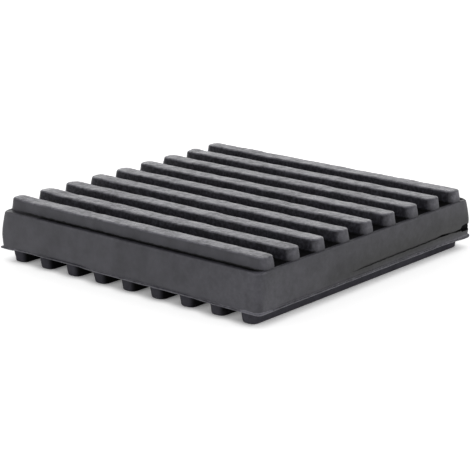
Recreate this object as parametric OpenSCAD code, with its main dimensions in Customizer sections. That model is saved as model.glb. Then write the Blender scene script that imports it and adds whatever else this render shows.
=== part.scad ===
// Ribbed rubber pad that is laid under a machine's foot to take up its vibration.
// One moulding: a square slab with a row of ribs on each face, the two rows crossing at right angles.
// Millimetres, Z up, origin in the middle of the footprint, at the level the lower ribs stand on.

/* [Slab] */
// Width across the fullest line of the sides, along X
pad_w = 103.2; // [70:0.1:160]
// Length across the fullest line of the sides, along Y
pad_l = 103.2; // [70:0.1:160]
// Thickness of the slab between the two rows of ribs
slab_t = 11.6; // [9:0.1:20]
// Radius of the upright corners on the fullest line of the sides
corner_r = 1.8; // [1.6:0.05:8]
// Radius of the slab's upper edge
top_edge_r = 0.5; // [0.3:0.05:0.7]
// How far the sides swell out past the upper edge
side_bulge = 0.7; // [0.3:0.05:1]
// Height of the fullest line of the sides above the slab's underside
bulge_z = 4.5; // [3.5:0.1:6]

/* [Flash lip] */
// Thickness of the flash left along the slab's lower edge
lip_t = 0.45; // [0.3:0.05:0.8]
// How far the flash stands out past the fullest line of the sides
lip_out = 0.05; // [0:0.05:0.6]
// Radius of the hollow just above the flash
neck_r = 0.6; // [0.45:0.05:1]
// Depth of that hollow, measured from the fullest line of the sides
neck_in = 0.25; // [0.25:0.05:0.4]

/* [Upper ribs] */
// Number of ribs on the upper face, side by side along Y
top_ribs = 9; // [3:1:12]
// Height of the upper ribs
top_rib_h = 3.5; // [2:0.1:6]
// Width of an upper rib at its crest
top_rib_w = 5.1; // [3:0.1:7]
// Bare ledge between the outer ribs and the slab's upper edge
top_ledge = 2.5; // [0.8:0.1:6]
// Bare step between a rib's ends and the slab's upper edge
top_end_step = 0.5; // [0.3:0.05:3]

/* [Lower ribs] */
// Number of ribs on the lower face, side by side along X
low_ribs = 9; // [3:1:12]
// Height of the lower ribs
low_rib_h = 3.95; // [2:0.05:6]
// Width of a lower rib at its crest
low_rib_w = 5.1; // [3:0.1:7]
// Bare ledge between the outer ribs and the edge of the flash
low_ledge = 3.1; // [0.8:0.1:6]
// Bare step between a rib's ends and the edge of the flash
low_end_step = 1.6; // [0.3:0.1:4]

/* [Rib form] */
// Draft of the ribs' sides and ends, in degrees from upright
rib_draft = 6.5; // [3:0.5:10]
// Radius of a rib's corners in plan, at its crest, as far as its width has room for it
rib_corner_r = 2; // [0.6:0.05:2.4]
// Radius along the ribs' crests
rib_edge_r = 0.4; // [0.15:0.05:0.5]
// Depth that a rib's foot is bedded in the slab
rib_bed = 1; // [0.9:0.1:1.5]

/* [Crease] */
// Height of the crease in the +X side above the slab's underside, where it meets the corner notch
crease_z = 2.95; // [2.4:0.05:5]
// How much lower the crease lies at its far end
crease_fall = 0.4; // [0:0.05:0.8]
// Opening of the crease where it meets the corner notch
crease_gap = 0.6; // [0.2:0.05:1]
// Depth of the crease where it meets the corner notch
crease_deep = 0.5; // [0.2:0.05:1]
// Length of the crease, up to the corner notch
crease_l = 56; // [10:1:60]
// Length of the notch that the crease opens into at the +X +Y corner
notch_l = 5.4; // [4:0.2:8]
// Opening of the notch
notch_gap = 1.6; // [1:0.1:2.4]
// Greatest depth of the notch
notch_deep = 1.5; // [0.8:0.1:3]
// How far the notch bites into the outline of the corner
notch_bite = 0.5; // [0.1:0.1:1]

/* [Hidden] */
$fn = 96;
rubber = "#4b4b4f";
// Levels of the slab's two faces
slab_z = low_rib_h;
top_z = slab_z + slab_t;
// Radius of the arc that a side follows from its upper edge to its lower one
bulge_r = (pow(slab_t - bulge_z, 2) + pow(side_bulge, 2)) / (2 * side_bulge);
// Edge of the slab, measured in from the fullest line: at the upper face and at the flash
upper_in = side_bulge;
flash_in = -lip_out;
// How far the draft carries a rib's foot out past its crest
top_flare = top_rib_h * tan(rib_draft);
low_flare = low_rib_h * tan(rib_draft);
// Least straight length between the two corners of a rib's end, and the corners' radius in each row
end_flat = 0.4;
top_corner_r = min(rib_corner_r, (top_rib_w - end_flat) / 2);
low_corner_r = min(rib_corner_r, (low_rib_w - end_flat) / 2);
// Lengths of the ribs at the crest
top_crest_l = pad_w - 2 * (upper_in + top_end_step + top_flare);
low_crest_l = pad_l - 2 * (flash_in + low_end_step + low_flare);
// Distance between the middles of the first and the last rib of each row
top_row = pad_l - 2 * (upper_in + top_ledge + top_flare) - top_rib_w;
low_row = pad_w - 2 * (flash_in + low_ledge + low_flare) - low_rib_w;
// Room that a cutting shape reaches past the surface it cuts
spare = 1;

// Point at a distance and an angle from another one
function polar(from, r, a) = from + r * [cos(a), sin(a)];

// What a rounding takes off a convex corner: outside the arc of radius r about c, between two angles
module corner_waste(c, r, from_a, to_a) {
    reach = 3 * r;
    middle_a = (from_a + to_a) / 2;
    difference() {
        polygon([c, polar(c, reach, from_a), polar(c, reach * 1.5, middle_a), polar(c, reach, to_a)]);
        translate(c)
            circle(r);
    }
}

// Section of the slab's rim: X runs out from the corners' centre line, Y up from the underside
module slab_rim() {
    arc_c = [corner_r - bulge_r, bulge_z];
    edge_y = slab_t - top_edge_r;
    edge_x = arc_c.x + sqrt(pow(bulge_r - top_edge_r, 2) - pow(edge_y - bulge_z, 2));
    edge_a = atan2(edge_y - arc_c.y, edge_x - arc_c.x);
    neck_c = [corner_r - neck_in + neck_r, lip_t + neck_r / 2];
    lip_x = corner_r + lip_out - lip_t / 2;
    difference() {
        intersection() {
            square([corner_r + spare, slab_t]);
            translate(arc_c)
                circle(bulge_r, $fn = 720);
        }
        corner_waste([edge_x, edge_y], top_edge_r, edge_a, 90);
        translate(neck_c)
            circle(neck_r);
    }
    square([lip_x, lip_t]);
    translate([lip_x, lip_t / 2])
        circle(lip_t / 2);
}

// Block with its rim section carried round four sides and four rounded corners.
// w and l are measured where the section's X is r, the radius of the corners there.
module rounded_block(w, l, r, low, high) {
    run_x = w - 2 * r;
    run_y = l - 2 * r;
    translate([-run_x / 2, -run_y / 2, low])
        cube([run_x, run_y, high - low]);
    for (k = [0 : 3]) {
        along_y = k % 2 == 0;
        out = along_y ? run_x / 2 : run_y / 2;
        half_run = along_y ? run_y / 2 : run_x / 2;
        rotate(90 * k)
            translate([out, 0, 0])
                rotate([90, 0, 0])
                    linear_extrude(2 * half_run, center = true)
                        children();
        rotate(90 * k)
            translate([out, half_run, 0])
                rotate_extrude(angle = 90)
                    children();
    }
}

// Slab with swollen sides and the flash along its lower edge
module slab() {
    rounded_block(pad_w, pad_l, corner_r, 0, slab_t)
        slab_rim();
}

// Section of a rib's rim: X runs out from the corners' centre line, Y up from the foot
module rib_rim(h, r) {
    foot_x = r + (h + rib_bed) * tan(rib_draft);
    edge_c = [r - rib_edge_r * tan(45 - rib_draft / 2), h - rib_edge_r];
    difference() {
        polygon([[0, -rib_bed], [foot_x, -rib_bed], [r, h], [0, h]]);
        corner_waste(edge_c, rib_edge_r, rib_draft, 90);
    }
}

// Drafted rib along X, its foot on Z = 0
module rib(crest_l, crest_w, h, r) {
    rounded_block(crest_l, crest_w, r, -rib_bed, h)
        rib_rim(h, r);
}

// Upper row, its ribs along X
module upper_ribs() {
    for (k = [0 : top_ribs - 1])
        translate([0, top_row * (k / (top_ribs - 1) - 0.5), top_z])
            rib(top_crest_l, top_rib_w, top_rib_h, top_corner_r);
}

// Lower row, its ribs along Y and turned down
module lower_ribs() {
    for (k = [0 : low_ribs - 1])
        translate([low_row * (k / (low_ribs - 1) - 0.5), 0, slab_z])
            rotate([180, 0, 90])
                rib(low_crest_l, low_rib_w, low_rib_h, low_corner_r);
}

// Moulding crease in the +X side, where two flows of rubber closed badly: it opens into a notch at the corner
module crease() {
    side = [pad_w, pad_l] / 2;
    past = side + [spare, spare];
    notch_y = side.y - notch_l;
    start_y = notch_y - crease_l;
    open_y = notch_y + notch_l / 4;
    deep_y = notch_y + notch_l / 2;
    bite = side - [corner_r, corner_r] + (corner_r - notch_bite) * [cos(45), sin(45)];
    z = slab_z + crease_z;
    intersection() {
        translate([0, 0, slab_z])
            linear_extrude(slab_t)
                polygon([
                    [past.x, start_y],
                    [side.x, start_y],
                    [side.x - crease_deep, notch_y],
                    [side.x - notch_deep, deep_y],
                    bite,
                    [side.x, past.y],
                    past
                ]);
        rotate([90, 0, 90])
            linear_extrude(past.x)
                polygon([
                    [start_y, z - crease_fall],
                    [notch_y, z - crease_gap / 2],
                    [open_y, z - notch_gap / 2],
                    [past.y, z - notch_gap / 2],
                    [past.y, z + notch_gap / 2],
                    [open_y, z + notch_gap / 2],
                    [notch_y, z + crease_gap / 2]
                ]);
    }
}

// The whole moulding
module pad() {
    color(rubber)
        difference() {
            union() {
                translate([0, 0, slab_z])
                    slab();
                upper_ribs();
                lower_ribs();
            }
            crease();
        }
}

pad();
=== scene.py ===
import math

import bmesh
import bpy
from mathutils import Matrix, Vector


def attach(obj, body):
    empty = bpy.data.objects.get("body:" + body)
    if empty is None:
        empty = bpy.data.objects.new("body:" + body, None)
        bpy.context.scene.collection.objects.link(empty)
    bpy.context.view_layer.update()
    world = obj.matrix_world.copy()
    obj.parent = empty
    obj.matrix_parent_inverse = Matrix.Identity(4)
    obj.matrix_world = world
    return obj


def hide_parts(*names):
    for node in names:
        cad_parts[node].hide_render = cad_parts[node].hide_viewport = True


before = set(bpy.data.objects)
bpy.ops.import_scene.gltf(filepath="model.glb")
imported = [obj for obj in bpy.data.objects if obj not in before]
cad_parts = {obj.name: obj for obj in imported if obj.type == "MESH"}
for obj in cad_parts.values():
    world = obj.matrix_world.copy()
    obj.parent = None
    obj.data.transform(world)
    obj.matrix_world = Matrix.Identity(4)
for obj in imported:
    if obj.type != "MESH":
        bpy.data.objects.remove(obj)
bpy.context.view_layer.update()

# The pad is shaped in millimetres, and brought to metres when it is finished
MM = 0.001
# Places closer than this are one place, and picking and cutting allow for this much
SAME = 0.001
NEAR = 0.01
CUT_NEAR = 1e-4
# An edge that rises more than this is upright
UPRIGHT_RISE = 1.0

# Slab, from the fullest line of its sides
PAD_W = 103.2
PAD_L = 103.2
SLAB_LOW = 3.95
SLAB_T = 11.6
SLAB_HIGH = SLAB_LOW + SLAB_T
CORNER_R = 1.8
CORNER_SEGMENTS = 6
TOP_EDGE_R = 0.5
SIDE_BULGE = 0.7
BULGE_Z = 4.5
BULGE_R = ((SLAB_T - BULGE_Z) ** 2 + SIDE_BULGE ** 2) / (2 * SIDE_BULGE)
# How far the upright corners are worn in by their upper end
CORNER_EASE = 0.2

# Flash along the slab's lower edge, and the hollow above it
LIP_T = 0.45
LIP_OUT = 0.05
NECK_R = 0.6
NECK_IN = 0.25
# Corners where the flash stands out in a tip: which corner, how far round it, and how far out
FLASH_TIPS = (((-1, -1), 2.2, 0.15), ((-1, -1), 1.1, 0.25), ((1, 1), 2.5, 0.2), ((1, -1), 1.2, 0.12))
# How far the flash lies over or under its level, along the -Y side and along the +X side
FRONT_FLASH = (
    (-51.6, -0.1), (-47, -0.2), (-44, 0.2), (-18, 0.25),
    (-12, -0.05), (28, 0.0), (34, -0.28), (51.6, -0.28),
)
RIGHT_FLASH = (
    (-51.6, -0.28), (-40, -0.22), (37, -0.2), (43, -0.45),
    (45.5, -0.6), (47.5, -0.8), (50, -0.65), (51.6, -0.2),
)
FLASH_REACH = 0.8
# How far the hollow above the flash is filled, or deepened, along the same sides
FRONT_NECK = (
    (-51.6, 0.1), (-33, 0.0), (-30, -0.15), (-17, -0.2), (-13, 0.1), (9.5, 0.25), (12, -0.2),
    (25, -0.2), (29, 0.25), (36, 0.25), (39, 0.1), (43, 0.25), (46.5, 0.0), (51.6, 0.1),
)
RIGHT_NECK = ((-51.6, 0.1), (-40, 0.25), (30, 0.2), (51.6, 0.05))
NECK_REACH = 0.25
# The flash and the hollow lie outside this line
FLASH_RING = 48.0

# Ribs of both rows
RIB_COUNT = 9
CREST_W = 5.1
RIB_DRAFT = math.radians(6.5)
RIB_CORNER_R = 2.0
RIB_EDGE_R = 0.4
EDGE_SEGMENTS = 3
RIB_BED = 1.0
# Lengthwise cuts in a rib's crest, and level cuts in its sides as shares of the height
CREST_CUTS = (-1.2, 0, 1.2)
SIDE_CUTS = (0.25, 0.5, 0.75)

# Upper ribs, and the middle of the last one
TOP_RIB_H = 3.5
TOP_LEDGE = 2.5
TOP_END_STEP = 0.5
TOP_ROW_Y = PAD_L / 2 - SIDE_BULGE - TOP_LEDGE - TOP_RIB_H * math.tan(RIB_DRAFT) - CREST_W / 2
# How much longer and higher the -X ends of the upper ribs came out, along the row
RIB_ENDS = (
    (-48.5, 0.1, 0.25), (-37, 0.1, 0.25), (-31, 0.15, 0.22), (-23, 0.2, 0.1), (-11, 0.3, 0.1),
    (23, 0.3, 0.1), (37, 0.1, 0.1), (42, 0.7, 0.0), (48.5, 0.7, 0.0),
)
END_LONGER = 0.7
END_HIGHER = 0.25

# Lower ribs, and the middle of the last one
LOW_RIB_H = SLAB_LOW
LOW_LEDGE = 3.1
LOW_END_STEP = 1.6
LOW_ROW_X = PAD_W / 2 + LIP_OUT - LOW_LEDGE - LOW_RIB_H * math.tan(RIB_DRAFT) - CREST_W / 2
# Their crests stay flat this far up from the ground
FLAT_FOOT = 0.2

# Strip at the ribs' ends where the slab's upper face keeps its skin, without the painted shade of the
# grooves
END_STRIP_X = 50.0
# The outer ledges keep it sooner at their -X end, out from the outer ribs' feet
LEDGE_END_X = 36.0
LEDGE_Y = 48.2

# Crease in the +X side, and the notch it opens into at the +X +Y corner
CREASE_Z = 3.15
CREASE_START_Y = -10.5
CREASE_END_Y = PAD_L / 2 + 0.6
CREASE_STEP = 1.1
CRACK_GAP = 0.26
CRACK_DEEP = 0.55
DASH_GAP = 0.75
DASH_DEEP = 0.95
NOTCH_Y = 46.2
NOTCH_GAP = 2.0
NOTCH_DEEP = 1.9
# Highest level of the crack's middle, and how quickly its side takes over from the rounded corner
CREASE_LINE_Z = SLAB_LOW + CREASE_Z - 0.1
CREASE_TURN = 1.2
# Half the depth and half the height of the blade that cuts it, before each of its rings is scaled
BLADE_X = 1.0
BLADE_Z = 0.5
# How far the crease lies under its highest level, along the side
CREASE_FALLS = (
    (-10.5, 0.65), (2, 0.5), (23, 0.35), (32, 0.2), (36, 0.05), (39, 0.1),
    (42, 0.4), (46, 0.4), (47, 0.2), (48.5, 0.05), (51, 0.2), (53, 0.2),
)
# Place along the side, depth, opening, and how much of that opening is left at the inner edge
CREASE_STATIONS = (
    (CREASE_START_Y, 0.1, 0.1, 0.2),
    (CREASE_START_Y + 5, CRACK_DEEP * 0.8, CRACK_GAP * 0.8, 0.3),
    (34.0, CRACK_DEEP, CRACK_GAP, 0.3),
    (35.6, DASH_DEEP, DASH_GAP, 0.5),
    (38.4, DASH_DEEP, DASH_GAP, 0.5),
    (39.6, CRACK_DEEP, CRACK_GAP, 0.3),
    (43.0, CRACK_DEEP, CRACK_GAP, 0.3),
    (43.8, DASH_DEEP, DASH_GAP, 0.5),
    (NOTCH_Y, DASH_DEEP, DASH_GAP, 0.5),
    (NOTCH_Y + 0.6, NOTCH_DEEP * 0.7, NOTCH_GAP * 1.1, 0.8),
    (NOTCH_Y + 2.7, NOTCH_DEEP, NOTCH_GAP * 1.3, 0.8),
    (NOTCH_Y + 4.8, NOTCH_DEEP * 0.55, NOTCH_GAP, 0.8),
    (CREASE_END_Y, NOTCH_DEEP * 0.35, NOTCH_GAP, 0.8),
)
# Stations of the notch, which get a cut of their own
NOTCH_STATIONS = CREASE_STATIONS[-5:-1]
# Raggedness of the crease's level and opening: height, waves along the side and phase
RAGGED_RISE = ((0.06, 1.1, 0), (0.05, 2.7, 1))
RAGGED_GAP = ((0.15, 1.9, 2),)
RAGGED_NOTCH = 0.3
# Height of the stretch above the crease that is rolled in, how far in, and the run-up to it
ROLL_H = 2.3
ROLL_IN = 0.3
ROLL_RUN = 8.0

# Arcs of the flash's edge and of the slab's upper edge: first step, end, and degrees in a step
LIP_ARC = (-4, 4, 22.5)
EDGE_ARC = (1, 7, 15)
# Levels of the cuts round the slab's rim: in the hollow above the flash, and up the side
NECK_LEVELS = (0.02, 0.15, 0.3, 0.45, 0.6)
SIDE_LEVELS = (1.22, 1.8, 2.4, CREASE_Z - 0.3, CREASE_Z, 3.5, 4.0, 4.6, 5.4, 6.4, 7.6, 9.0, 10.2)

# Spacing of the cuts that let the surfaces waver
CUT_STEP = 1.5
# Wandering of the moulded surfaces: size of a wave and how far it moves the surface
RIB_WAVES = ((7.0, 0.35), (2.6, 0.14))
SIDE_WAVES = ((16.0, 0.3), (5.0, 0.12))
FLASH_WAVES = ((2.2, 0.5),)
SMOOTH_ANGLE = math.radians(35)

# Faces turned this far towards Z are a groove's floor, and those turned this far towards Y its wall
FLOOR_FACING = 0.9
WALL_FACING = 0.94

# Camera, fitted to the ribs' edges in the photograph
FRAME_PX = 470
FOCAL_PX = 1780.24
SENSOR = 36.0
VIEW_AZIMUTH = math.radians(40.6)
VIEW_ELEVATION = math.radians(16.137)
VIEW_ROLL = math.radians(-0.311)
VIEW_DISTANCE = 548.72 * MM
VIEW_TARGET_Z = 12.19 * MM
VIEW_RIGHT = -0.855 * MM
VIEW_UP = -6.122 * MM
CLIP_START = 10 * MM

# Floor: its painted shade close to the pad, and the painted shadow under it, where its glow is turned down
FLOOR_SIZE = 6.0
FLOOR_WHITE = (0.95, 0.95, 0.95)
FLOOR_ROUGH = 0.9
FLOOR_LIFT = 0.6
FLOOR_SHADE = 4 * MM
FLOOR_SHADE_RAYS = 8
FLOOR_UNDER = 0.45
FLOOR_UNDER_X = (46.5, 48.5)
FLOOR_UNDER_Y = (49, 51.5)

# White surround: brightest low down behind the pad, dimmer overhead
HORIZON_FRONT = 1.05
HORIZON_BACK = 1.9
OVERHEAD = 0.45
HORIZON_FADE = (0.2, 0.7)
BACK_FADE = (0.5, 0.95)

# Rubber: colours in linear light
SKIN_DARK = (0.0392, 0.0382, 0.0465)
SKIN_LIGHT = (0.0582, 0.0568, 0.069)
# Painted shade of the walls between the upper ribs
WALL_SHADE_DARK = (0.011, 0.0105, 0.015)
WALL_SHADE_LIGHT = (0.046, 0.0445, 0.058)
# Painted shade, near black, of the grooves' floors, the ledges and the gaps under the slab; the lighter
# one also shades the crease
GROOVE_SHADE_DARK = (0.003, 0.003, 0.0032)
GROOVE_SHADE_LIGHT = (0.0075, 0.0074, 0.008)
# Painted sheen and highlights, partly wear on the crests
SHEEN_AND_WEAR = (0.175, 0.172, 0.2)

# Rubber: gloss and relief
RUBBER_IOR = 1.5
RUBBED_GLOSS = 0.12
RUBBED_GRAIN = 1.5
GROOVE_DULL = 0.3
GRAIN_DEPTH = 0.12 * MM

# Kinds of rubber: name, two colours, roughness where it is dark and light, specular level, relief
SKIN = ("moulded_rubber", SKIN_DARK, SKIN_LIGHT, (0.5, 0.4), 0.4, 0.5)
WALL = ("wall_rubber", SKIN_DARK, SKIN_LIGHT, (0.6, 0.5), 0.28, 0.8)
DULL = ("dull_rubber", SKIN_DARK, SKIN_LIGHT, (0.7, 0.6), 0.05, 0.5)
UNDER = ("underside_rubber", SKIN_DARK, SKIN_LIGHT, (0.7, 0.6), 0.1, 0.5)
# Rubber of the crack's and notch's walls: painted shade, near black
CRACK_SHADE = ("torn_rubber", GROOVE_SHADE_DARK, GROOVE_SHADE_LIGHT, (0.75, 0.6), 0.1, 0.8)

# Noises in the rubber: scale, detail, roughness
FINE_NOISE = (2600, 2, 0.5)
LUMP_NOISE = (620, 2, 0.5)
PATCH_NOISE = (170, 5, 0.6)
SPECK_NOISE = (1100, 2, 0.5)
GROOVE_NOISE = (500, 2, 0.5)
SHADE_NOISE = (300, 3, 0.5)
BLOTCHY_SHADE_NOISE = (500, 4, 0.65)
FLASH_NOISE = (700, 3, 0.5)
BLOTCH_NOISE = (600, 5, 0.65)
# The stretch of a noise that is used
NOISE_RANGE = (0.3, 0.7)
PATCH_RANGE = (0.32, 0.68)
SPECK_RANGE = (0.4, 0.75)
BLOTCH_RANGE = (0.36, 0.64)
FINE_SHARE = 0.35
LUMP_SHARE = 0.65

# Painted shade that blackens the grooves' floors: where it begins and where it is full, in millimetres
GROOVE_UNEVEN = 0.15
GROOVE_ABOVE = (SLAB_HIGH + 0.4, SLAB_HIGH + 0.16)
GROOVE_BELOW = (SLAB_HIGH - 0.5, SLAB_HIGH - 0.05)
GROOVE_END = (END_STRIP_X + 0.1, END_STRIP_X - 0.4)
GROOVE_ROW = (LEDGE_Y + 0.2, LEDGE_Y - 0.2)
LEDGE_START = (-END_STRIP_X, -LEDGE_END_X - 4)
LEDGE_RIM = (50.3, 49.3)
LEDGE_UNEVEN = 2.0
# The same painted shade for the gaps between the lower ribs and for the grooves' walls; facing is a share
GAP_FACING = (0.35, 0.85)
GAP_TOP = (SLAB_LOW, SLAB_LOW - 0.3)
GAP_ROW = (LOW_ROW_X + 1, LOW_ROW_X)
SIDE_FACING = (0.25, 0.9)
SIDE_ROW = (TOP_ROW_Y + 0.5, TOP_ROW_Y)
SIDE_FOOT = (SLAB_HIGH - 0.2, SLAB_HIGH)

# Painted shade along the crease, measured from it, and blotchy painted shade over that side
SHADE_LEVELS = (SLAB_LOW + CREASE_Z - CREASE_FALLS[0][1], CREASE_LINE_Z)
SHADE_UNEVEN = 0.3
SHADE_ABOVE = (7.5, 0.5)
SHADE_BELOW = (-2.4, -0.6)
SHADE_SIDE = (PAD_W / 2 - 1.4, PAD_W / 2 - 0.8)
SHADE_RUN = (CREASE_START_Y - 25, CREASE_START_Y + ROLL_RUN)
BLOTCHY_SHADE = 0.24

# Places lightened with painted sheen and highlights, partly wear on the crests: crests, ribs' ends and
# those of the last ribs, flash, upper edge, front corner
CREST_FACING = (0.2, 0.65)
CREST_UP = (SLAB_HIGH + TOP_RIB_H / 2, SLAB_HIGH + TOP_RIB_H / 2 + 0.5)
END_OUT = (48.4, 50.0)
END_UP = (SLAB_HIGH + 0.2, SLAB_HIGH + 1.7)
END_PAINTED_LIGHT = 0.4
LAST_ENDS = (36, 44)
LAST_ENDS_MORE = 1.7
FLASH_Z = SLAB_LOW + LIP_T / 2
FLASH_UNEVEN = 0.15
FLASH_LOW = (FLASH_Z - 0.75, FLASH_Z - 0.45)
FLASH_HIGH = (FLASH_Z + 0.4, FLASH_Z + 0.15)
FLASH_HIGHLIGHT = 0.6
EDGE_LOW = (SLAB_HIGH - 0.9, SLAB_HIGH - 0.4)
EDGE_HIGH = (SLAB_HIGH, SLAB_HIGH - 0.1)
EDGE_HIGHLIGHT = 0.15
CORNER_NEAR = (8, 3)
CORNER_MORE = 4.0
# Painted light over the slab's faces near the front corner
CORNER_LIGHT_NEAR = (35, 4)
CORNER_LIGHT_HIGH = (SLAB_HIGH - 0.1, SLAB_HIGH - 0.2)
CORNER_PAINTED_LIGHT = 0.16
BLOTCH_SHARE = (0.2, 1.2)


# Selecting by place

def only(obj):
    if bpy.context.mode != "OBJECT":
        done()
    bpy.ops.object.select_all(action="DESELECT")
    obj.select_set(True)
    bpy.context.view_layer.objects.active = obj


def edit(obj):
    only(obj)
    bpy.ops.object.mode_set(mode="EDIT")
    bpy.ops.mesh.select_mode(type="VERT")
    bpy.ops.mesh.select_all(action="DESELECT")


def done():
    bpy.ops.object.mode_set(mode="OBJECT")


def pick(obj, kind, test):
    bpy.ops.mesh.select_mode(type=kind)
    mesh = bmesh.from_edit_mesh(obj.data)
    for item in {"VERT": mesh.verts, "EDGE": mesh.edges, "FACE": mesh.faces}[kind]:
        item.select = test(item)
    mesh.select_flush_mode()
    bmesh.update_edit_mesh(obj.data)


def pick_verts(obj, test):
    pick(obj, "VERT", lambda vert: test(vert.co))


def pick_edges(obj, test):
    pick(obj, "EDGE", lambda edge: test(edge.verts[0].co, edge.verts[1].co))


def pick_faces(obj, test):
    pick(obj, "FACE", lambda face: all(test(vert.co) for vert in face.verts))


def upright(a, b):
    return abs(a.z - b.z) > UPRIGHT_RISE


def at_level(z):
    return lambda co: abs(co.z - z) < SAME


# Shaping by hand

def block(name, low, high):
    low, high = Vector(low), Vector(high)
    if bpy.context.mode != "OBJECT":
        done()
    bpy.ops.object.select_all(action="DESELECT")
    bpy.ops.mesh.primitive_cube_add(size=1, location=(low + high) / 2)
    obj = bpy.context.object
    obj.name = name
    obj.scale = high - low
    bpy.ops.object.transform_apply(location=True, rotation=False, scale=True)
    return obj


def cut(at, normal):
    bpy.ops.mesh.select_all(action="SELECT")
    bpy.ops.mesh.bisect(plane_co=at, plane_no=normal, threshold=CUT_NEAR)


def apply(obj, kind, **values):
    only(obj)
    modifier = obj.modifiers.new(kind.lower(), kind)
    for key, value in values.items():
        setattr(modifier, key, value)
    bpy.ops.object.modifier_apply(modifier=modifier.name)


def remove(obj):
    only(obj)
    bpy.ops.object.delete()


# Uneven surfaces: moved by a rule for each place, or by soft waves

def group_verts(obj, name, weigh):
    group = obj.vertex_groups.new(name=name)
    for vert in obj.data.vertices:
        group.add([vert.index], weigh(vert.co), "REPLACE")
    return name


def wander(obj, name, distance, direction, reach):
    for sign in (1, -1):
        verts = group_verts(obj, f"{name}_{sign}", lambda co: max(0.0, sign * distance(co)) / reach)
        apply(obj, "DISPLACE", vertex_group=verts, direction=direction, strength=sign * reach, mid_level=0)


def waver(obj, waves, verts, direction):
    for size, reach in waves:
        clouds = bpy.data.textures.new(f"{obj.name}_{verts}_{direction}_{size}", "CLOUDS")
        clouds.cloud_type = "COLOR"
        clouds.noise_scale = size
        clouds.noise_depth = 1
        apply(
            obj, "DISPLACE", texture=clouds, texture_coords="LOCAL", vertex_group=verts,
            direction=direction, strength=reach,
        )


def share(value):
    return min(1.0, max(0.0, value))


def between(place, stations):
    for (from_place, *low), (to_place, *high) in zip(stations, stations[1:]):
        if place <= to_place:
            part = (place - from_place) / (to_place - from_place)
            return [u + (v - u) * part for u, v in zip(low, high)]
    return stations[-1][1:]


# Slab: a block with rounded corners, cut round at each level of its rim and drawn out or in there

def arc(from_step, to_step, angle):
    return [math.radians(step * angle) for step in range(from_step, to_step)]


def rim_profile():
    points = []
    for a in arc(*LIP_ARC):
        points.append((LIP_T / 2 * (1 + math.sin(a)), LIP_OUT - LIP_T / 2 + LIP_T / 2 * math.cos(a)))
    neck_x, neck_z = NECK_R - NECK_IN, LIP_T + NECK_R / 2
    for level in NECK_LEVELS:
        z = LIP_T + level
        points.append((z, neck_x - math.sqrt(NECK_R ** 2 - (z - neck_z) ** 2)))
    for z in SIDE_LEVELS:
        points.append((z, math.sqrt(BULGE_R ** 2 - (z - BULGE_Z) ** 2) - BULGE_R))
    edge_z = SLAB_T - TOP_EDGE_R
    edge_x = math.sqrt((BULGE_R - TOP_EDGE_R) ** 2 - (edge_z - BULGE_Z) ** 2) - BULGE_R
    for a in arc(*EDGE_ARC):
        points.append((edge_z + TOP_EDGE_R * math.sin(a), edge_x + TOP_EDGE_R * math.cos(a)))
    return points


def shape_rim(slab):
    rim = rim_profile()
    for height, out in rim[1:-1]:
        cut((0, 0, SLAB_LOW + height), (0, 0, 1))
    for height, out in rim:
        pick_verts(slab, at_level(SLAB_LOW + height))
        grow = 1 + out / (PAD_W / 2)
        bpy.ops.transform.resize(value=(grow, grow, 1), center_override=(0, 0, 0))


def cut_slab(slab):
    cuts = int((PAD_W / 2 - CORNER_R) / CUT_STEP)
    for k in range(-cuts, cuts + 1):
        cut((k * CUT_STEP, 0, 0), (1, 0, 0))
        cut((0, k * CUT_STEP, 0), (0, 1, 0))
    for side in (-1, 1):
        cut((side * END_STRIP_X, 0, 0), (1, 0, 0))
    under, over = at_level(SLAB_LOW), at_level(SLAB_HIGH)
    pick_faces(slab, lambda co: under(co) and max(abs(co.x), abs(co.y)) < FLASH_RING + NEAR)
    bpy.ops.mesh.dissolve_faces()
    pick_faces(slab, lambda co: over(co) and abs(co.x) < LEDGE_END_X + NEAR)
    bpy.ops.mesh.dissolve_faces()


def pull_flash_tips(slab):
    for (way_x, way_y), reach, pull in FLASH_TIPS:
        tip = Vector((way_x * PAD_W / 2, way_y * PAD_L / 2))
        pick_verts(slab, lambda co: co.z < SLAB_LOW + LIP_T and (co.xy - tip).length < reach)
        bpy.ops.transform.translate(value=(way_x * pull, way_y * pull, 0))


def model_slab():
    half_w, half_l = PAD_W / 2, PAD_L / 2
    slab = block("slab", (-half_w, -half_l, SLAB_LOW), (half_w, half_l, SLAB_HIGH))
    edit(slab)
    pick_edges(slab, upright)
    bpy.ops.mesh.bevel(offset=CORNER_R, segments=CORNER_SEGMENTS, affect="EDGES")
    shape_rim(slab)
    cut_slab(slab)
    pull_flash_tips(slab)
    done()
    everywhere = group_verts(slab, "sides", lambda co: 1.0)
    flash = group_verts(slab, "flash", lambda co: 1.0 if co.z < SLAB_LOW + LIP_T else 0.0)
    wander(slab, "corners", eased_corner, "NORMAL", CORNER_EASE)
    wander(slab, "neck", filled_neck, "NORMAL", NECK_REACH)
    wander(slab, "roll", rolled_in, "X", ROLL_IN)
    wander(slab, "sunk", sunk_crease, "Z", CREASE_FALLS[0][1])
    wander(slab, "level", flash_level, "Z", FLASH_REACH)
    for waves, verts in ((SIDE_WAVES, everywhere), (FLASH_WAVES, flash)):
        for axis in "XY":
            waver(slab, waves, verts, axis)
    return slab


# Rules for the slab's uneven places

def along_sides(co, front, right):
    if co.y < -FLASH_RING:
        return between(co.x, front)[0]
    return between(co.y, right)[0] if co.x > FLASH_RING else 0.0


def eased_corner(co):
    off_middle = min(abs(co.x), abs(co.y))
    near = share((off_middle - PAD_W / 2 + 2 * CORNER_R) / CORNER_R)
    return -CORNER_EASE * near * share((co.z - SLAB_LOW - BULGE_Z) / BULGE_Z)


def flash_level(co):
    over_lip = max(0.0, co.z - SLAB_LOW - LIP_T)
    return along_sides(co, FRONT_FLASH, RIGHT_FLASH) * max(0.0, 1 - over_lip / (3 * LIP_T))


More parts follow.
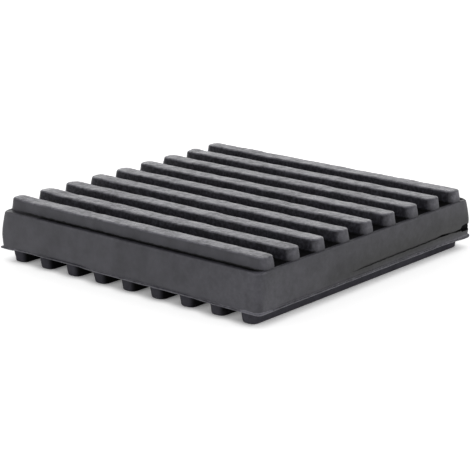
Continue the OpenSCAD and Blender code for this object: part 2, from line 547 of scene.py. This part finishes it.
def filled_neck(co):
    off = abs(co.z - SLAB_LOW - LIP_T - NECK_R / 2)
    return along_sides(co, FRONT_NECK, RIGHT_NECK) if off < NECK_R / 3 else 0.0


def on_crease_side(co):
    round_corner = (co.x - PAD_W / 2 + CORNER_R) / CORNER_R
    return share(round_corner * CREASE_TURN) if co.y > CREASE_START_Y else 0.0


def rolled_in(co):
    over = co.z - SLAB_LOW - CREASE_Z
    if not -NEAR < over < ROLL_H:
        return 0.0
    run = share((co.y - CREASE_START_Y) / ROLL_RUN)
    return -ROLL_IN * run * on_crease_side(co) * (1 - over / ROLL_H) ** 2


def sunk_crease(co):
    off = abs(co.z - SLAB_LOW - CREASE_Z)
    if off > ROLL_H:
        return 0.0
    return -between(co.y, CREASE_FALLS)[0] * on_crease_side(co) * (1 - off / ROLL_H)


# Ribs: one drafted rib, its foot bedded in the slab, copied along its row

def model_rib(name, axis, crest_l, height, foot_z, way):
    flare = (height + RIB_BED) * math.tan(RIB_DRAFT)
    foot = Vector((crest_l / 2 + flare, CREST_W / 2 + flare, 0))
    crest_grow = Vector((crest_l / 2 / foot.x, CREST_W / 2 / foot.y, 1))
    along, across = Vector((1, 0, 0)), Vector((0, 1, 0))
    if axis == "Y":
        foot.x, foot.y = foot.y, foot.x
        crest_grow.x, crest_grow.y = crest_grow.y, crest_grow.x
        along, across = across, along
    crest_z = foot_z + way * height
    bed_z = foot_z - way * RIB_BED
    on_crest = at_level(crest_z)
    rib = block(name, (-foot.x, -foot.y, min(crest_z, bed_z)), (foot.x, foot.y, max(crest_z, bed_z)))
    edit(rib)
    pick_verts(rib, on_crest)
    bpy.ops.transform.resize(value=crest_grow, center_override=(0, 0, crest_z))
    pick_edges(rib, upright)
    bpy.ops.mesh.bevel(offset=RIB_CORNER_R, segments=CORNER_SEGMENTS, affect="EDGES")
    pick_edges(rib, lambda a, b: on_crest(a) and on_crest(b))
    bpy.ops.mesh.bevel(offset=RIB_EDGE_R, segments=EDGE_SEGMENTS, affect="EDGES")
    cuts = int(crest_l / 2 / CUT_STEP)
    for k in range(-cuts + 1, cuts):
        cut(along * (k * CUT_STEP), along)
    for place in CREST_CUTS:
        cut(across * place, across)
    for place in SIDE_CUTS:
        cut((0, 0, foot_z + place * (crest_z - foot_z)), (0, 0, 1))
    done()
    return rib


def row(rib, spacing, across):
    copies = []
    for k in range(RIB_COUNT):
        only(rib)
        bpy.ops.object.duplicate(linked=False)
        copy = bpy.context.object
        copy.location = across * (spacing * (k / (RIB_COUNT - 1) - 0.5))
        bpy.ops.object.transform_apply(location=True, rotation=False, scale=False)
        copies.append(copy)
    remove(rib)
    only(copies[0])
    for copy in copies:
        copy.select_set(True)
    bpy.ops.object.join()
    free = group_verts(copies[0], "free", lambda co: share(co.z - FLAT_FOOT))
    waver(copies[0], RIB_WAVES, free, "RGB_TO_XYZ")
    return copies[0]


def model_upper_row():
    flare = TOP_RIB_H * math.tan(RIB_DRAFT)
    crest_l = PAD_W - 2 * (SIDE_BULGE + TOP_END_STEP + flare)
    rib = model_rib("upper_rib", "X", crest_l, TOP_RIB_H, SLAB_HIGH, 1)
    ribs = row(rib, 2 * TOP_ROW_Y, Vector((0, 1, 0)))
    wander(ribs, "longer", longer_end, "X", END_LONGER)
    wander(ribs, "higher", higher_end, "Z", END_HIGHER)
    return ribs


def model_lower_row():
    flare = LOW_RIB_H * math.tan(RIB_DRAFT)
    crest_l = PAD_L - 2 * (LOW_END_STEP - LIP_OUT + flare)
    rib = model_rib("lower_rib", "Y", crest_l, LOW_RIB_H, SLAB_LOW, -1)
    return row(rib, 2 * LOW_ROW_X, Vector((1, 0, 0)))


def by_rib_end(co):
    return share((-co.x - PAD_W / 2 + 2 * CREST_W) / CREST_W)


def longer_end(co):
    return -between(co.y, RIB_ENDS)[0] * by_rib_end(co)


def higher_end(co):
    return between(co.y, RIB_ENDS)[1] * by_rib_end(co) * share((co.z - SLAB_HIGH) / TOP_RIB_H)


# Crease: a ragged blade that cuts the crack, and the notch it widens into

def ripple(y, waves):
    return sum(height * math.sin(y * rate + phase) for height, rate, phase in waves)


def model_crease():
    x, z = PAD_W / 2, CREASE_LINE_Z
    low, high = (x - BLADE_X, CREASE_START_Y, z - BLADE_Z), (x + BLADE_X, CREASE_END_Y, z + BLADE_Z)
    blade = block("crease", low, high)
    edit(blade)
    length = CREASE_END_Y - CREASE_START_Y
    rings = int(length / CREASE_STEP)
    places = {round(CREASE_START_Y + k * length / rings, 3) for k in range(rings + 1)}
    places = sorted(places | {round(station[0], 3) for station in NOTCH_STATIONS})
    for y in places[1:-1]:
        cut((0, y, 0), (0, 1, 0))
    for y in places:
        shape_ring(blade, y)
    done()
    return blade


def shape_ring(blade, y):
    middle = (PAD_W / 2, y, CREASE_LINE_Z)
    deep, gap, inner = between(y, CREASE_STATIONS)
    ragged = 1.0 if y < NOTCH_Y else RAGGED_NOTCH
    gap *= 1 + ragged * ripple(y, RAGGED_GAP)
    rise = ragged * ripple(y, RAGGED_RISE) - between(y, CREASE_FALLS)[0]
    pick_verts(blade, lambda co: abs(co.y - y) < NEAR)
    bpy.ops.transform.resize(value=(deep, 1, gap), center_override=middle)
    pick_verts(blade, lambda co: abs(co.y - y) < NEAR and co.x < PAD_W / 2)
    bpy.ops.transform.resize(value=(1, 1, inner), center_override=middle)
    pick_verts(blade, lambda co: abs(co.y - y) < NEAR)
    bpy.ops.transform.translate(value=(0, 0, rise))


# Pad: its pieces get their rubber, are joined and cut, and become one closed mesh

def dress(obj, materials, choose):
    for material in materials:
        obj.data.materials.append(material)
    for face in obj.data.polygons:
        face.material_index = choose(face.center, face.normal)


def groove_floor(at, way):
    on_ledge = abs(at.y) > LEDGE_Y and at.z > SLAB_LOW + SLAB_T / 2
    start_x = -LEDGE_END_X if on_ledge else -END_STRIP_X
    return int(abs(way.z) > FLOOR_FACING and start_x < at.x < END_STRIP_X)


def groove_wall(at, way):
    return int(abs(way.y) > WALL_FACING and abs(at.y) < TOP_ROW_Y)


def all_over(at, way):
    return 0


def clean(obj):
    edit(obj)
    bpy.ops.mesh.select_all(action="SELECT")
    bpy.ops.mesh.remove_doubles(threshold=SAME)
    pick(obj, "VERT", lambda vert: len(vert.link_edges) == 2)
    bpy.ops.mesh.dissolve_verts()
    bpy.ops.mesh.select_all(action="SELECT")
    bpy.ops.mesh.normals_make_consistent(inside=False)
    done()
    obj.vertex_groups.clear()


def model_pad(skin, wall, dull, under, crack_shade):
    slab = model_slab()
    upper = model_upper_row()
    lower = model_lower_row()
    crease = model_crease()
    dress(slab, (skin, dull), groove_floor)
    dress(upper, (skin, wall), groove_wall)
    dress(lower, (under,), all_over)
    # The crack's and notch's walls get painted shade
    dress(crease, (crack_shade,), all_over)
    for piece, operation in ((upper, "UNION"), (lower, "UNION"), (crease, "DIFFERENCE")):
        apply(slab, "BOOLEAN", operation=operation, object=piece, solver="EXACT", material_mode="TRANSFER")
        remove(piece)
    clean(slab)
    slab.scale = (MM, MM, MM)
    bpy.ops.object.transform_apply(location=False, rotation=False, scale=True)
    bpy.ops.object.shade_smooth_by_angle(angle=SMOOTH_ANGLE)
    slab.name = "moulded_pad"
    return slab


# Shader nodes

def new_group(name, outputs):
    group = bpy.data.node_groups.new(name, "ShaderNodeTree")
    group.interface.new_socket("Vector", in_out="INPUT", socket_type="NodeSocketVector")
    for socket in outputs:
        group.interface.new_socket(socket, in_out="OUTPUT", socket_type="NodeSocketFloat")
    vector = group.nodes.new("NodeGroupInput").outputs["Vector"]
    return group, vector, group.nodes.new("NodeGroupOutput").inputs


def place_group(tree, group, vector):
    node = tree.nodes.new("ShaderNodeGroup")
    node.node_tree = group
    tree.links.new(vector, node.inputs["Vector"])
    return node.outputs


def noise(tree, vector, kind):
    node = tree.nodes.new("ShaderNodeTexNoise")
    for socket, number in zip(("Scale", "Detail", "Roughness"), kind):
        node.inputs[socket].default_value = number
    tree.links.new(vector, node.inputs["Vector"])
    return node.outputs["Fac"]


def ramp(tree, value, limits, to=(0.0, 1.0)):
    node = tree.nodes.new("ShaderNodeMapRange")
    for socket, number in zip(("From Min", "From Max", "To Min", "To Max"), (*limits, *to)):
        node.inputs[socket].default_value = number
    tree.links.new(value, node.inputs["Value"])
    return node.outputs["Result"]


def ramp_mm(tree, value, limits, to=(0.0, 1.0)):
    return ramp(tree, value, [limit * MM for limit in limits], to)


def maths(tree, operation, a, *others):
    for b in others:
        node = tree.nodes.new("ShaderNodeMath")
        node.operation = operation
        for socket, value in zip(node.inputs, (a, b)):
            if isinstance(value, float):
                socket.default_value = value
            else:
                tree.links.new(value, socket)
        a = node.outputs[0]
    return a


def times(tree, *values):
    return maths(tree, "MULTIPLY", *values)


def most(tree, *values):
    return maths(tree, "MAXIMUM", *values)


def plus(tree, *values):
    return maths(tree, "ADD", *values)


def off_zero(tree, value):
    return maths(tree, "ABSOLUTE", value, 0.0)


def split(tree, vector):
    node = tree.nodes.new("ShaderNodeSeparateXYZ")
    tree.links.new(vector, node.inputs[0])
    return [node.outputs[axis] for axis in "XYZ"]


def facing(tree):
    return split(tree, tree.nodes.new("ShaderNodeNewGeometry").outputs["Normal"])


def uneven(tree, vector, kind, reach):
    return ramp(tree, noise(tree, vector, kind), NOISE_RANGE, (-reach * MM, reach * MM))


def mix_colour(tree, part, a, b):
    node = tree.nodes.new("ShaderNodeMix")
    node.data_type = "RGBA"
    tree.links.new(part, node.inputs["Factor"])
    for socket, value in ((node.inputs[6], a), (node.inputs[7], b)):
        if isinstance(value, tuple):
            socket.default_value = (*value, 1)
        else:
            tree.links.new(value, socket)
    return node.outputs[2]


# Fine pebbling of the mould, softer lumps under it, and wide patches where the skin cured unevenly

def rubber_grain():
    group, vector, result = new_group("rubber_grain", ("Height", "Patches", "Specks"))
    fine = times(group, noise(group, vector, FINE_NOISE), FINE_SHARE)
    lumps = times(group, noise(group, vector, LUMP_NOISE), LUMP_SHARE)
    patches = ramp(group, noise(group, vector, PATCH_NOISE), PATCH_RANGE)
    specks = ramp(group, noise(group, vector, SPECK_NOISE), SPECK_RANGE)
    group.links.new(plus(group, fine, lumps), result["Height"])
    group.links.new(patches, result["Patches"])
    group.links.new(specks, result["Specks"])
    return group


# Masks of painted shade: the grooves' floors with the gaps under the slab, and the grooves' walls

def groove_depth():
    group, vector, result = new_group("groove_depth", ("Deep", "Wall"))
    x, y, z = split(group, vector)
    off_x, off_y = off_zero(group, x), off_zero(group, y)
    way_x, way_y = facing(group)[:2]
    rough = uneven(group, vector, GROOVE_NOISE, GROOVE_UNEVEN)
    level = times(
        group, ramp_mm(group, plus(group, z, rough), GROOVE_ABOVE), ramp_mm(group, z, GROOVE_BELOW))
    rim = plus(group, off_y, times(group, rough, LEDGE_UNEVEN))
    ledge = times(group, ramp_mm(group, x, LEDGE_START), ramp_mm(group, rim, LEDGE_RIM))
    inside = times(
        group, ramp_mm(group, off_x, GROOVE_END), most(group, ramp_mm(group, off_y, GROOVE_ROW), ledge))
    gap = times(
        group, ramp(group, off_zero(group, way_x), GAP_FACING),
        ramp_mm(group, z, GAP_TOP), ramp_mm(group, off_x, GAP_ROW))
    wall = times(
        group, ramp(group, off_zero(group, way_y), SIDE_FACING),
        ramp_mm(group, off_y, SIDE_ROW), ramp_mm(group, z, SIDE_FOOT))
    group.links.new(most(group, times(group, level, inside), gap), result["Deep"])
    group.links.new(wall, result["Wall"])
    return group


# Mask of painted shade along the crease, widest above it, and of blotchy painted shade over that side

def crease_shade():
    group, vector, result = new_group("crease_shade", ("Shade",))
    x, y, z = split(group, vector)
    line = ramp_mm(group, y, (CREASE_START_Y, NOTCH_Y), [level * MM for level in SHADE_LEVELS])
    over = maths(group, "SUBTRACT", z, line)
    over = plus(group, over, uneven(group, vector, SHADE_NOISE, SHADE_UNEVEN))
    near = times(
        group, ramp_mm(group, over, SHADE_ABOVE), ramp_mm(group, over, SHADE_BELOW),
        ramp_mm(group, y, SHADE_RUN))
    blotchy_shade = ramp(group, noise(group, vector, BLOTCHY_SHADE_NOISE), BLOTCH_RANGE, (0.0, BLOTCHY_SHADE))
    shade = times(group, plus(group, near, blotchy_shade), ramp_mm(group, x, SHADE_SIDE))
    group.links.new(shade, result["Shade"])
    return group


# Mask of painted sheen and highlights, partly wear on the crests: crests, ribs' ends, flash, upper edge
# and front corner

def off_front_corner(tree, x, y):
    from_x = off_zero(tree, plus(tree, x, -PAD_W / 2 * MM))
    from_y = off_zero(tree, plus(tree, y, PAD_L / 2 * MM))
    return plus(tree, from_x, from_y)


def rubbed_edges():
    group, vector, result = new_group("rubbed_edges", ("Rubbed",))
    x, y, z = split(group, vector)
    way_z = facing(group)[2]
    crest = times(group, ramp(group, way_z, CREST_FACING), ramp_mm(group, z, CREST_UP))
    end = times(
        group, ramp_mm(group, off_zero(group, x), END_OUT, (0.0, END_PAINTED_LIGHT)),
        ramp_mm(group, y, LAST_ENDS, (1.0, LAST_ENDS_MORE)), ramp_mm(group, z, END_UP))
    level = plus(group, z, uneven(group, vector, FLASH_NOISE, FLASH_UNEVEN))
    flash = times(
        group, ramp_mm(group, level, FLASH_LOW), ramp_mm(group, level, FLASH_HIGH, (0.0, FLASH_HIGHLIGHT)))
    edge = times(
        group, ramp_mm(group, level, EDGE_LOW), ramp_mm(group, z, EDGE_HIGH, (0.0, EDGE_HIGHLIGHT)))
    off_corner = off_front_corner(group, x, y)
    more = ramp_mm(group, off_corner, CORNER_NEAR, (1.0, CORNER_MORE))
    corner_light = times(
        group, ramp_mm(group, off_corner, CORNER_LIGHT_NEAR, (0.0, CORNER_PAINTED_LIGHT)), ramp_mm(group, z, CORNER_LIGHT_HIGH))
    lit_or_worn = most(group, crest, end, times(group, most(group, flash, edge), more), corner_light)
    blotches = ramp(group, noise(group, vector, BLOTCH_NOISE), BLOTCH_RANGE, BLOTCH_SHARE)
    group.links.new(times(group, lit_or_worn, blotches), result["Rubbed"])
    return group


# Rubber

def rubber_material(kind, groups):
    name, dark, light, roughness, specular, bump = kind
    material = bpy.data.materials.new(name)
    material.use_nodes = True
    tree = material.node_tree
    shader = tree.nodes["Principled BSDF"]
    where = tree.nodes.new("ShaderNodeTexCoord").outputs["Object"]
    grain, groove, crease, edges = (place_group(tree, group, where) for group in groups)
    deep, sheen_or_wear = groove["Deep"], edges["Rubbed"]
    colour = mix_colour(tree, grain["Patches"], dark, light)
    # Painted shade on the walls between the upper ribs
    wall_shade_colour = mix_colour(tree, grain["Specks"], WALL_SHADE_DARK, WALL_SHADE_LIGHT)
    groove_shade_colour = mix_colour(tree, grain["Specks"], GROOVE_SHADE_DARK, GROOVE_SHADE_LIGHT)
    colour = mix_colour(tree, groove["Wall"], colour, wall_shade_colour)
    # Painted shade along the crease and in blotches over the +X side
    colour = mix_colour(tree, crease["Shade"], colour, GROOVE_SHADE_LIGHT)
    # Painted shade: the grooves' floors, the ledges and the gaps under the slab go near black
    colour = mix_colour(tree, deep, colour, groove_shade_colour)
    # Painted sheen and highlights, partly wear on the crests
    colour = mix_colour(tree, sheen_or_wear, colour, SHEEN_AND_WEAR)
    tree.links.new(colour, shader.inputs["Base Color"])
    gloss = times(tree, sheen_or_wear, RUBBED_GLOSS)
    rough = maths(tree, "SUBTRACT", ramp(tree, grain["Patches"], (0.0, 1.0), roughness), gloss)
    tree.links.new(plus(tree, rough, times(tree, deep, GROOVE_DULL)), shader.inputs["Roughness"])
    shader.inputs["IOR"].default_value = RUBBER_IOR
    shader.inputs["Specular IOR Level"].default_value = specular
    relief = tree.nodes.new("ShaderNodeBump")
    relief.inputs["Strength"].default_value = bump
    relief.inputs["Distance"].default_value = GRAIN_DEPTH
    worn = times(tree, sheen_or_wear, grain["Specks"], RUBBED_GRAIN)
    tree.links.new(plus(tree, grain["Height"], worn), relief.inputs["Height"])
    tree.links.new(relief.outputs["Normal"], shader.inputs["Normal"])
    return material


# Camera

def add_camera():
    a, e = VIEW_AZIMUTH, VIEW_ELEVATION
    back = Vector((math.sin(a) * math.cos(e), -math.cos(a) * math.cos(e), math.sin(e)))
    right = Vector((math.cos(a), math.sin(a), 0))
    up = back.cross(right)
    target = Vector((0, 0, VIEW_TARGET_Z)) + VIEW_RIGHT * right + VIEW_UP * up
    turn = right * math.cos(VIEW_ROLL) + up * math.sin(VIEW_ROLL)
    rise = up * math.cos(VIEW_ROLL) - right * math.sin(VIEW_ROLL)
    matrix = Matrix((turn, rise, back)).transposed().to_4x4()
    matrix.translation = target + back * VIEW_DISTANCE
    data = bpy.data.cameras.new("camera")
    data.sensor_width = SENSOR
    data.lens = FOCAL_PX / FRAME_PX * SENSOR
    data.clip_start = CLIP_START
    camera = bpy.data.objects.new("camera", data)
    bpy.context.collection.objects.link(camera)
    camera.matrix_world = matrix
    bpy.context.scene.camera = camera


# Floor: white where it is seen, with the pad's shadow kept, and a painted shadow where its glow is turned
# down close to the pad and under it

def seen_directly(tree):
    path = tree.nodes.new("ShaderNodeLightPath").outputs
    return most(tree, path["Is Camera Ray"], path["Is Glossy Ray"], path["Is Transmission Ray"])


# Painted shadow under the pad: the glow is turned down within its footprint
def out_from_under(tree):
    x, y = split(tree, tree.nodes.new("ShaderNodeTexCoord").outputs["Object"])[:2]
    past_x = ramp_mm(tree, off_zero(tree, x), FLOOR_UNDER_X, (FLOOR_UNDER, 1.0))
    past_y = ramp_mm(tree, off_zero(tree, y), FLOOR_UNDER_Y, (FLOOR_UNDER, 1.0))
    return most(tree, past_x, past_y)


def add_floor():
    bpy.ops.object.select_all(action="DESELECT")
    bpy.ops.mesh.primitive_plane_add(size=FLOOR_SIZE, location=(0, 0, 0))
    floor = bpy.context.object
    floor.name = "floor"
    material = bpy.data.materials.new("white_floor")
    material.use_nodes = True
    tree = material.node_tree
    shader = tree.nodes["Principled BSDF"]
    shader.inputs["Base Color"].default_value = (*FLOOR_WHITE, 1)
    shader.inputs["Roughness"].default_value = FLOOR_ROUGH
    shader.inputs["Specular IOR Level"].default_value = 0.0
    shader.inputs["Emission Color"].default_value = (1, 1, 1, 1)
    # Painted shade: the glow fades where the pad closes in on the floor
    clear = tree.nodes.new("ShaderNodeAmbientOcclusion")
    clear.samples = FLOOR_SHADE_RAYS
    clear.inputs["Distance"].default_value = FLOOR_SHADE
    lift = times(tree, seen_directly(tree), FLOOR_LIFT, clear.outputs["AO"], out_from_under(tree))
    tree.links.new(lift, shader.inputs["Emission Strength"])
    floor.data.materials.append(material)


# Light

def add_light():
    world = bpy.data.worlds.new("studio")
    bpy.context.scene.world = world
    world.use_nodes = True
    tree = world.node_tree
    way = tree.nodes.new("ShaderNodeTexCoord").outputs["Generated"]
    behind = tree.nodes.new("ShaderNodeVectorMath")
    behind.operation = "DOT_PRODUCT"
    behind.inputs[1].default_value = (-math.sin(VIEW_AZIMUTH), math.cos(VIEW_AZIMUTH), 0)
    tree.links.new(way, behind.inputs[0])
    horizon = ramp(tree, behind.outputs["Value"], BACK_FADE, (HORIZON_FRONT, HORIZON_BACK))
    level = tree.nodes.new("ShaderNodeMix")
    level.inputs["B"].default_value = OVERHEAD
    tree.links.new(ramp(tree, split(tree, way)[2], HORIZON_FADE), level.inputs["Factor"])
    tree.links.new(horizon, level.inputs["A"])
    background = tree.nodes["Background"]
    background.inputs["Color"].default_value = (1, 1, 1, 1)
    tree.links.new(level.outputs["Result"], background.inputs["Strength"])


bpy.context.scene.view_settings.view_transform = "Standard"
add_camera()
add_floor()
add_light()
groups = rubber_grain(), groove_depth(), crease_shade(), rubbed_edges()
pad = model_pad(*(rubber_material(kind, groups) for kind in (SKIN, WALL, DULL, UNDER, CRACK_SHADE)))
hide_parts("pad")
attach(pad, "root")
